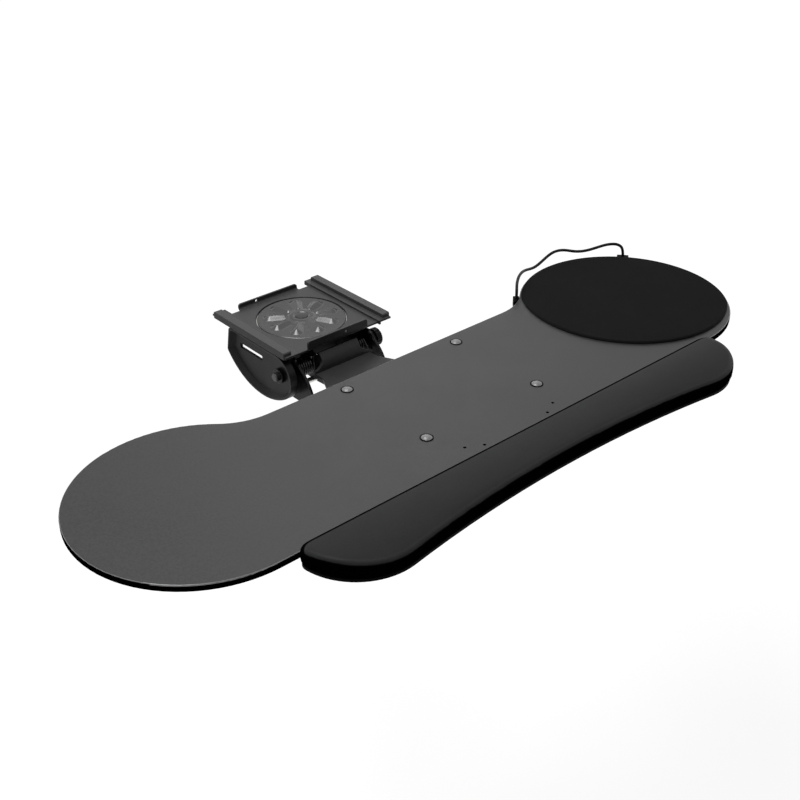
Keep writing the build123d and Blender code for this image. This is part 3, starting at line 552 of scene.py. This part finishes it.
def laminate(name, settings):
    """Grey face with fine specks, a painted highlight on the rounded rim of the face, and near-black painted
    shade on the upright edge.
    """
    finish = Finish(name, 0.0, 0.3)
    graph = finish.graph
    grain = finish.group("Fine grain", Color=rgba(settings.colours.laminate),
                         Grain=1.0 / settings.sizes.laminate_grain, Speck=0.28, Cloud=0.05, Roughness=0.42)
    edge = finish.group("Fine grain", Color=rgba(settings.colours.board_edge_shade), Grain=700.0,
                        Speck=0.15, Cloud=0.1, Roughness=0.5)
    # Painted shade: faces tilted more than about 55 degrees from flat take the near-black edge colour
    upright = graph.calc("ABSOLUTE", graph.apart(graph.facing())["Z"], 0.0)
    face = graph.spread(upright, 0.5, 0.6, 0.0, 1.0)
    # Painted highlight: the rounded rim takes the light rim colour, and its gloss is raised
    rim = graph.spread(upright, 0.995, 0.95, 0.0, 1.0)
    rough = graph.calc("MULTIPLY_ADD", rim, -0.15, grain.outputs["Roughness"])
    top = graph.mix(rim, grain.outputs["Color"], rgba(settings.colours.board_rim_highlight))
    finish.paint(graph.mix(face, edge.outputs["Color"], top), rough)
    gloss = graph.calc("MULTIPLY_ADD", rim, 0.3, 0.3)
    graph.feed(finish.shader.inputs["Specular IOR Level"], graph.calc("MULTIPLY", face, gloss))
    finish.bump(grain.outputs["Height"], 0.35, 0.00006)
    return finish.material


def knit_cloth(name, settings):
    finish = Finish(name, 0.0, 0.05, Sheen_Weight=0.02, Sheen_Roughness=0.5)
    knit = finish.group("Knit cloth", Color=rgba(settings.colours.cloth), Pitch=settings.sizes.knit_pitch)
    finish.paint(knit.outputs["Color"], knit.outputs["Roughness"])
    finish.bump(knit.outputs["Height"], 0.6, 0.00018)
    return finish.material


def foam_rubber(name, settings):
    finish = Finish(name, 0.0, 0.15)
    grain = finish.group("Fine grain", Color=rgba(settings.colours.rubber), Grain=1400.0, Speck=0.3,
                         Cloud=0.1, Roughness=0.8)
    finish.paint(grain.outputs["Color"], grain.outputs["Roughness"])
    finish.bump(grain.outputs["Height"], 0.5, 0.0001)
    return finish.material


def pebbled_skin(name, settings):
    finish = Finish(name, 0.0, 0.06)
    skin = finish.group("Pebbled skin", Color=rgba(settings.colours.skin),
                        Side_Color=rgba(settings.colours.skin_side_shade), Cell=settings.sizes.skin_grain,
                        Rim=0.6, Back=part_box("palm_rest")[1].y)
    finish.paint(skin.outputs["Color"], skin.outputs["Roughness"])
    finish.graph.feed(finish.shader.inputs["Specular IOR Level"], skin.outputs["Gloss"])
    finish.bump(skin.outputs["Height"], 0.3, 0.00008)
    return finish.material


FINISHES = {
    "Plate coat": coated("plate", 0.40, 0.12, 0.15, 0.1, 0.45, 0.3),
    "Disc coat": coated("disc", 0.23, 0.3, 0.1, 0.08, 0.3, 0.06, 0.8),
    "Mechanism coat": coated("mechanism", 0.38, 0.15, 0.15, 0.15, 0.55, 0.25),
    # Painted shade: the arm's coat is the plate's charcoal made darker
    "Shaded arm coat": coated("arm", 0.42, 0.2, 0.15, 0.1, 0.3, 0.25),
    "Blackened steel": coated("pin", 0.3, 0.5, 0.1, 0.15, 0.5, 0.15),
    "Rivet coat": coated("rivet", 0.30, 0.6, 0.08, 0.06, 0.2, 0.2),
    "Wire coat": coated("wire", 0.34, 0.12, 0.1, 0.1, 0.0, 0.2),
    "Zinc turned": plated(0.26, (1900.0, 90.0, 90.0)),
    "Zinc screw": plated(0.3, (900.0, 900.0, 60.0)),
    "Base plastic": moulded("plastic", 0.5, 0.02),
    "Knob plastic": moulded("plastic", 0.42, 0.12),
    "Nylon": moulded("ring", 0.4, 0.5),
    "Ribbed nylon": ribbed_nylon,
    "Laminate": laminate,
    "Knit cloth": knit_cloth,
    "Foam rubber": foam_rubber,
    "Pebbled skin": pebbled_skin,
}


def finish_of(name, context):
    return finish_named(name, FINISHES[name], tray(context))


def dress(context, finish, *nodes):
    material = finish_of(finish, context)
    for node in nodes:
        mesh = frame["nodes"][node].data
        mesh.materials.clear()
        mesh.materials.append(material)


# Meshes

def shade_smooth(mesh):
    for polygon in mesh.polygons:
        polygon.use_smooth = True


def new_piece(name, work, *materials):
    mesh = bpy.data.meshes.new(name)
    work.to_mesh(mesh)
    work.free()
    piece = bpy.data.objects.new(name, mesh)
    bpy.context.scene.collection.objects.link(piece)
    for material in materials:
        mesh.materials.append(material)
    shade_smooth(mesh)
    return piece


def merged_copy(node):
    """A bmesh of a CAD node's mesh with its loose triangles joined."""
    work = bmesh.new()
    work.from_mesh(frame["nodes"][node].data)
    bmesh.ops.remove_doubles(work, verts=work.verts, dist=LOOSE_GAP)
    return work


def apply_modifiers(piece):
    """Writes what the modifiers make into the mesh itself."""
    graph = bpy.context.evaluated_depsgraph_get()
    mesh = bpy.data.meshes.new_from_object(piece.evaluated_get(graph), depsgraph=graph)
    piece.modifiers.clear()
    piece.data = mesh
    shade_smooth(mesh)


def lathe(points, centre, steps):
    """The surface that a half section sweeps about the upright line through centre."""
    work = bmesh.new()
    verts = [work.verts.new((centre.x + across, centre.y, height)) for across, height in points]
    edges = [work.edges.new(pair) for pair in zip(verts, verts[1:])]
    bmesh.ops.spin(work, geom=verts + edges, cent=centre, axis=(0, 0, 1), angle=math.tau,
                   steps=steps, use_merge=True)
    bmesh.ops.remove_doubles(work, verts=work.verts, dist=JOIN_GAP)
    bmesh.ops.recalc_face_normals(work, faces=work.faces)
    return work


# Operators

class TrayOperator:
    """What the operators share."""
    bl_options = {"REGISTER", "UNDO"}


@registered
class TRAY_OT_stage(TrayOperator, bpy.types.Operator):
    """Set up the floor, the soft light and the camera"""
    bl_idname = "tray.stage"
    bl_label = "Stage, Light and Camera"

    def execute(self, context):
        light = tray(context).light
        self.floor(context)
        self.world(context, light.room)
        self.softbox("Overhead light", light.overhead, OVERHEAD_PLACE, OVERHEAD_SIZE)
        self.softbox("Rear light", light.rear, REAR_PLACE, REAR_SIZE)
        self.camera(context, light.lens)
        return {"FINISHED"}

    def floor(self, context):
        work = bmesh.new()
        bmesh.ops.create_grid(work, x_segments=2, y_segments=2, size=FLOOR_HALF)
        bmesh.ops.translate(work, verts=work.verts, vec=(0.0, 0.0, FLOOR_LEVEL))
        material = bpy.data.materials.new("Studio floor")
        material.use_nodes = True
        graph = Graph(material.node_tree)
        shader = material.node_tree.nodes["Principled BSDF"]
        colour = rgba(tray(context).colours.floor)
        clouds = graph.noise(graph.place(), 3.0, 2.0, 0.5)
        tone = graph.spread(clouds, 0.3, 0.7, 0.98, 1.0)
        graph.feed(shader.inputs["Base Color"], graph.shade(colour, tone))
        shader.inputs["Roughness"].default_value = 0.9
        shader.inputs["Specular IOR Level"].default_value = 0.1
        shader.inputs["Emission Color"].default_value = WHITE
        away = graph.add("ShaderNodeVectorMath", operation="LENGTH")
        graph.feed(away.inputs[0], graph.place())
        glow = graph.spread(away.outputs["Value"], 0.8, 2.2, 0.9, 1.0)
        graph.feed(shader.inputs["Emission Strength"], graph.calc("MULTIPLY", seen(graph), glow))
        floor = new_piece("Floor", work, material)

    def world(self, context, strength):
        world = bpy.data.worlds.new("Studio")
        context.scene.world = world
        world.use_nodes = True
        graph = Graph(world.node_tree)
        background = world.node_tree.nodes["Background"]
        background.inputs["Color"].default_value = WHITE
        level = graph.calc("MULTIPLY_ADD", seen(graph), 1.0 - strength, strength)
        graph.feed(background.inputs["Strength"], level)

    def softbox(self, name, power, place, size):
        data = bpy.data.lights.new(name, "AREA")
        data.shape = "RECTANGLE"
        data.size = size[0]
        data.size_y = size[1]
        data.energy = power
        lamp = bpy.data.objects.new(name, data)
        bpy.context.scene.collection.objects.link(lamp)
        lamp.location = place
        lamp.rotation_euler = (LIGHT_TARGET - place).to_track_quat("-Z", "Y").to_euler()

    def camera(self, context, lens):
        data = bpy.data.cameras.new("Camera")
        data.sensor_width = SENSOR_WIDTH
        data.lens = lens
        data.clip_end = 100.0
        data.dof.use_dof = False
        camera = bpy.data.objects.new("Camera", data)
        context.scene.collection.objects.link(camera)
        camera.location = CAMERA_PLACE
        camera.rotation_euler = CAMERA_LOOK.to_track_quat("-Z", "Y").to_euler()
        context.scene.camera = camera
        context.scene.view_settings.view_transform = "Standard"


def seen(graph):
    """1 for what the camera sees directly or in metal and glass, else 0."""
    path = graph.add("ShaderNodeLightPath")
    direct = path.outputs["Is Camera Ray"]
    mirrored = graph.calc("MAXIMUM", path.outputs["Is Glossy Ray"], path.outputs["Is Transmission Ray"])
    return graph.calc("MAXIMUM", direct, mirrored)


@registered
class TRAY_OT_carriage(TrayOperator, bpy.types.Operator):
    """Finish the slide plate, its glides and the bearing rings"""
    bl_idname = "tray.carriage"
    bl_label = "Carriage"

    def execute(self, context):
        dress(context, "Plate coat", "slide_plate")
        dress(context, "Ribbed nylon", "left_glide", "right_glide")
        dress(context, "Nylon", "upper_bearing_ring", "lower_bearing_ring")
        return {"FINISHED"}


@registered
class TRAY_OT_swivel(TrayOperator, bpy.types.Operator):
    """Finish the yoke, cheek, spacers, collar, shaft, link rod and knob"""
    bl_idname = "tray.swivel"
    bl_label = "Swivel and Knob"

    def execute(self, context):
        dress(context, "Mechanism coat", "yoke", "left_cheek", "left_spacer", "right_spacer", "shaft_collar")
        dress(context, "Blackened steel", "lift_shaft")
        dress(context, "Zinc turned", "link_rod")
        dress(context, "Knob plastic", "tension_knob")
        return {"FINISHED"}


@registered
class TRAY_OT_disc(TrayOperator, bpy.types.Operator):
    """Make the pressed swivel disc with its ring of raised petals, and its hub rivet"""
    bl_idname = "tray.disc"
    bl_label = "Swivel Disc"

    def execute(self, context):
        sizes = tray(context).sizes
        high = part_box("swivel_disc")[1]
        radius = high.x - sizes.disc_gap
        bend = sizes.disc_round
        points = [(ring * (radius - bend) / DISC_RINGS, high.z) for ring in range(DISC_RINGS + 1)]
        for step in range(1, 7):
            angle = math.radians(90.0 - step * 15.0)
            points.append((radius - bend + bend * math.cos(angle), high.z - bend + bend * math.sin(angle)))
        work = lathe(points, ORIGIN, 288)
        if sum(face.normal.z for face in work.faces) < 0:
            bmesh.ops.reverse_faces(work, faces=work.faces)
        for vert in work.verts:
            reach = vert.co.xy.length
            vert.co.z += max(self.petal(vert.co, sizes), self.hub(reach, sizes)) - self.dish(reach, sizes)
        disc = new_piece("pressed_disc", work, finish_of("Disc coat", context))
        wall = disc.modifiers.new("Sheet", "SOLIDIFY")
        wall.thickness = sizes.disc_sheet
        wall.offset = -1.0
        apply_modifiers(disc)
        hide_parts("swivel_disc")
        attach(disc, "swivel")
        self.rivet(context, high.z + sizes.hub_rise, sizes)
        return {"FINISHED"}

    def rivet(self, context, level, sizes):
        """The hub rivet, its domed head lying in the dish."""
        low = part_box("hub_rivet")[0]
        head = sizes.hub_head
        foot = level - sizes.hub_depth
        shank = head * 0.6
        points = [(0.0, low.z), (shank, low.z), (shank, foot), (head, foot), (head, foot + RIVET_EDGE)]
        for share in (0.95, 0.85, 0.7, 0.5, 0.25, 0.0):
            points.append((head * share, level + RIVET_EDGE - 0.001 * share ** 2))
        rivet = new_piece("hub_rivet_set", lathe(points, ORIGIN, 96),
                          finish_of("Plate coat", context))
        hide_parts("hub_rivet")
        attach(rivet, "swivel")

    def petal(self, place, sizes):
        """Height of the nearest petal at a place on the disc."""
        step = math.tau / sizes.petals
        turn = math.atan2(place.y, place.x) - math.radians(sizes.first_petal)
        turn = (turn + step / 2) % step - step / 2
        reach = place.xy.length
        along, aside = reach * math.cos(turn), abs(reach * math.sin(turn))
        tip = sizes.petal_start + sizes.petal_tip
        end = sizes.petal_end - sizes.petal_bowl
        share = min(1.0, max(0.0, (along - tip) / (end - tip)))
        width = sizes.petal_tip + (sizes.petal_bowl - sizes.petal_tip) * share
        inside = width - math.hypot(along - (tip + (end - tip) * share), aside)
        share = min(1.0, max(0.0, inside / sizes.petal_slope))
        soft = share * share * (3.0 - 2.0 * share)
        return sizes.petal_rise * (0.88 * share + 0.12 * soft)

    def hub(self, reach, sizes):
        """Height of the raised middle of the disc."""
        share = min(1.0, max(0.0, 2.0 - reach / (sizes.hub_reach + sizes.disc_round)))
        return sizes.hub_rise * share * share * (3.0 - 2.0 * share)

    def dish(self, reach, sizes):
        """Depth of the shallow dish round the hub rivet."""
        share = min(1.0, max(0.0, (sizes.hub_reach - reach) / sizes.disc_round))
        return sizes.hub_depth * share * share * (3.0 - 2.0 * share)


@registered
class TRAY_OT_arm(TrayOperator, bpy.types.Operator):
    """Finish the lift arm, springs, links and tilt head"""
    bl_idname = "tray.arm"
    bl_label = "Arm, Springs and Links"

    def execute(self, context):
        dress(context, "Shaded arm coat", "lift_arm")
        dress(context, "Mechanism coat", "left_link", "right_link", "tilt_head")
        dress(context, "Zinc turned", "spring_rod", "arm_pin", "link_pin", "tilt_pin")
        dress(context, "Blackened steel", "left_spring", "right_spring")
        return {"FINISHED"}


@registered
class TRAY_OT_board(TrayOperator, bpy.types.Operator):
    """Finish the board, its bracket, rivets and screws"""
    bl_idname = "tray.board"
    bl_label = "Board and Fasteners"

    def execute(self, context):
        dress(context, "Laminate", "board")
        dress(context, "Mechanism coat", "tray_bracket", "left_palm_bracket", "right_palm_bracket")
        dress(context, "Rivet coat", "board_rivets")
        self.shadow_rings(context)
        dress(context, "Zinc screw", "bracket_screws", "base_screws", "clip_screws")
        dress(context, "Base plastic", "palm_rest_base")
        return {"FINISHED"}

    def shadow_rings(self, context):
        """Thin dark rings under the four rivet heads: a painted shadow round the foot of each head."""
        low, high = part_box("board_rivets")
        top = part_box("board")[1].z
        points = [(SHADOW_RING_INNER, top), (SHADOW_RING_OUTER, top), (SHADOW_RING_OUTER, top + SHADOW_RING_SHEET),
                  (SHADOW_RING_INNER, top + SHADOW_RING_SHEET)]
        work = bmesh.new()
        for x in (low.x + RIVET_HEAD, high.x - RIVET_HEAD):
            for y in (low.y + RIVET_HEAD, high.y - RIVET_HEAD):
                verts = [work.verts.new((x + across, y, height)) for across, height in points]
                edges = [work.edges.new((verts[i], verts[(i + 1) % 4])) for i in range(4)]
                bmesh.ops.spin(work, geom=verts + edges, cent=(x, y, 0.0), axis=(0, 0, 1), angle=math.tau,
                               steps=48, use_merge=True)
        bmesh.ops.remove_doubles(work, verts=work.verts, dist=JOIN_GAP)
        bmesh.ops.recalc_face_normals(work, faces=work.faces)
        shadow_rings = new_piece("rivet_shadow_rings", work, finish_of("Base plastic", context))
        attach(shadow_rings, "tray")


@registered
class TRAY_OT_guard(TrayOperator, bpy.types.Operator):
    """Finish the wire guard and its clips"""
    bl_idname = "tray.guard"
    bl_label = "Wire Guard"

    def execute(self, context):
        dress(context, "Base plastic", "left_wire_clip", "right_wire_clip")
        curve = bpy.data.curves.new("guard_wire_bent", "CURVE")
        curve.dimensions = "3D"
        curve.bevel_depth = tray(context).sizes.wire_radius
        curve.bevel_resolution = 4
        curve.resolution_u = 10
        curve.use_fill_caps = True
        spline = curve.splines.new("NURBS")
        low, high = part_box("board")
        middle = Vector((high.x - LOBE_RADIUS, low.y + LOBE_RADIUS))
        spline.points.add(len(WIRE_COURSE) - 1)
        for point, (angle, height) in zip(spline.points, WIRE_COURSE):
            turn = math.radians(angle)
            x = middle.x + WIRE_RING * math.cos(turn)
            y = middle.y + WIRE_RING * math.sin(turn)
            point.co = (x, y, height * MILLIMETRE, 1.0)
        spline.order_u = 4
        spline.use_endpoint_u = True
        shape = bpy.data.objects.new("guard_wire_course", curve)
        bpy.context.scene.collection.objects.link(shape)
        bpy.context.view_layer.update()
        graph = bpy.context.evaluated_depsgraph_get()
        mesh = bpy.data.meshes.new_from_object(shape.evaluated_get(graph), depsgraph=graph)
        bpy.data.objects.remove(shape)
        wire = bpy.data.objects.new("guard_wire_coated", mesh)
        bpy.context.scene.collection.objects.link(wire)
        mesh.materials.clear()
        mesh.materials.append(finish_of("Wire coat", context))
        shade_smooth(mesh)
        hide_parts("guard_wire")
        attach(wire, "tray")
        return {"FINISHED"}


@registered
class TRAY_OT_mouse_pad(TrayOperator, bpy.types.Operator):
    """Make the round mouse pad: a foam rubber base under a cloth top"""
    bl_idname = "tray.mouse_pad"
    bl_label = "Mouse Pad"

    def execute(self, context):
        sizes = tray(context).sizes
        low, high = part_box("mouse_pad")
        radius = (high.x - low.x) / 2 + sizes.pad_spread
        board_low, board_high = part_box("board")
        centre = Vector((board_high.x - LOBE_RADIUS, board_low.y + LOBE_RADIUS, low.z))
        seam = high.z - sizes.cloth_layer
        base = lathe([(0.0, low.z), (radius - 0.0002, low.z), (radius, low.z + 0.0003),
                      (radius, seam - 0.0002), (radius - 0.0003, seam), (0.0, seam)], centre, 160)
        top = lathe(self.cloth_profile(radius - 0.0002, seam, high.z, sizes), centre, 160)
        for work in (base, top):
            self.draw_in(work, centre, radius, sizes)
        rubber = new_piece("mouse_pad_rubber", base, finish_of("Foam rubber", context))
        cloth = new_piece("mouse_pad_cloth", top, finish_of("Knit cloth", context))
        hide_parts("mouse_pad")
        for piece in (rubber, cloth):
            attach(piece, "tray")
        return {"FINISHED"}

    def draw_in(self, work, centre, radius, sizes):
        """Draws the front of the pad back to a second round, which leaves the board's rim free."""
        other = Vector((sizes.pad_shift, sizes.pad_shift))
        for vert in work.verts:
            arm = vert.co.xy - centre.xy
            reach = arm.length
            if reach < JOIN_GAP:
                continue
            ahead = arm.dot(other) / reach
            limit = ahead + math.sqrt(sizes.pad_front ** 2 - other.length_squared + ahead ** 2)
            share = min(1.0, limit / radius)
            vert.co.x = centre.x + arm.x * share
            vert.co.y = centre.y + arm.y * share

    def cloth_profile(self, radius, low, high, sizes):
        """Half section of the cloth: flat below, crowned a little above, with a rounded rim."""
        points = [(0.0, low), (radius, low)]
        bend = sizes.pad_round
        rim = high - sizes.pad_sag
        for step in range(6):
            angle = math.radians(step * 18.0)
            points.append((radius - bend + bend * math.cos(angle), rim - bend + bend * math.sin(angle)))
        for share in (0.96, 0.85, 0.65, 0.4, 0.2, 0.0):
            points.append((radius * share, high - sizes.pad_sag * share ** 4))
        return points


@registered
class TRAY_OT_palm_rest(TrayOperator, bpy.types.Operator):
    """Make the soft palm rest from the CAD solid's shape"""
    bl_idname = "tray.palm_rest"
    bl_label = "Palm Rest"

    def execute(self, context):
        sizes = tray(context).sizes
        piece = new_piece("palm_rest_foam", merged_copy("palm_rest"), finish_of("Pebbled skin", context))
        remesh = piece.modifiers.new("Cells", "REMESH")
        remesh.mode = "VOXEL"
        remesh.voxel_size = sizes.skin_cell
        smooth = piece.modifiers.new("Soften", "SMOOTH")
        smooth.factor = 0.5
        smooth.iterations = sizes.smooth_steps
        apply_modifiers(piece)
        piece.data.materials.clear()
        piece.data.materials.append(finish_of("Pebbled skin", context))
        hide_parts("palm_rest")
        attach(piece, "tray")
        return {"FINISHED"}


@registered
class TRAY_PT_panel(bpy.types.Panel):
    """Lists the steps that dress the keyboard tray"""
    bl_idname = "TRAY_PT_panel"
    bl_label = "Keyboard Tray"
    bl_space_type = "VIEW_3D"
    bl_region_type = "UI"
    bl_category = "Keyboard Tray"

    def draw(self, context):
        for step in STEPS:
            self.layout.operator(f"tray.{step}")
        settings = tray(context)
        for group in (settings.colours, settings.sizes, settings.light):
            box = self.layout.box()
            for key in type(group).__annotations__:
                box.prop(group, key)


@registered
class TraySettings(bpy.types.PropertyGroup):
    """All settings of the tray."""
    colours: PointerProperty(type=TrayColours, name="Colours", description="Colours of the finishes")
    sizes: PointerProperty(type=TraySizes, name="Sizes", description="Sizes of pieces and grain")
    light: PointerProperty(type=TrayLight, name="Light", description="Light and camera")


STEPS = ("stage", "carriage", "swivel", "disc", "arm", "board", "guard", "mouse_pad", "palm_rest")


def register():
    for cls in (TrayColours, TraySizes, TrayLight, *CLASSES):
        bpy.utils.register_class(cls)
    bpy.types.Scene.keyboard_tray = PointerProperty(type=TraySettings, name="Keyboard tray",
                                                    description="Settings of the keyboard tray")


def unregister():
    del bpy.types.Scene.keyboard_tray
    for cls in reversed((TrayColours, TraySizes, TrayLight, *CLASSES)):
        bpy.utils.unregister_class(cls)


def main():
    register()
    for step in STEPS:
        getattr(bpy.ops.tray, step)()


if __name__ == "__main__":
    main()
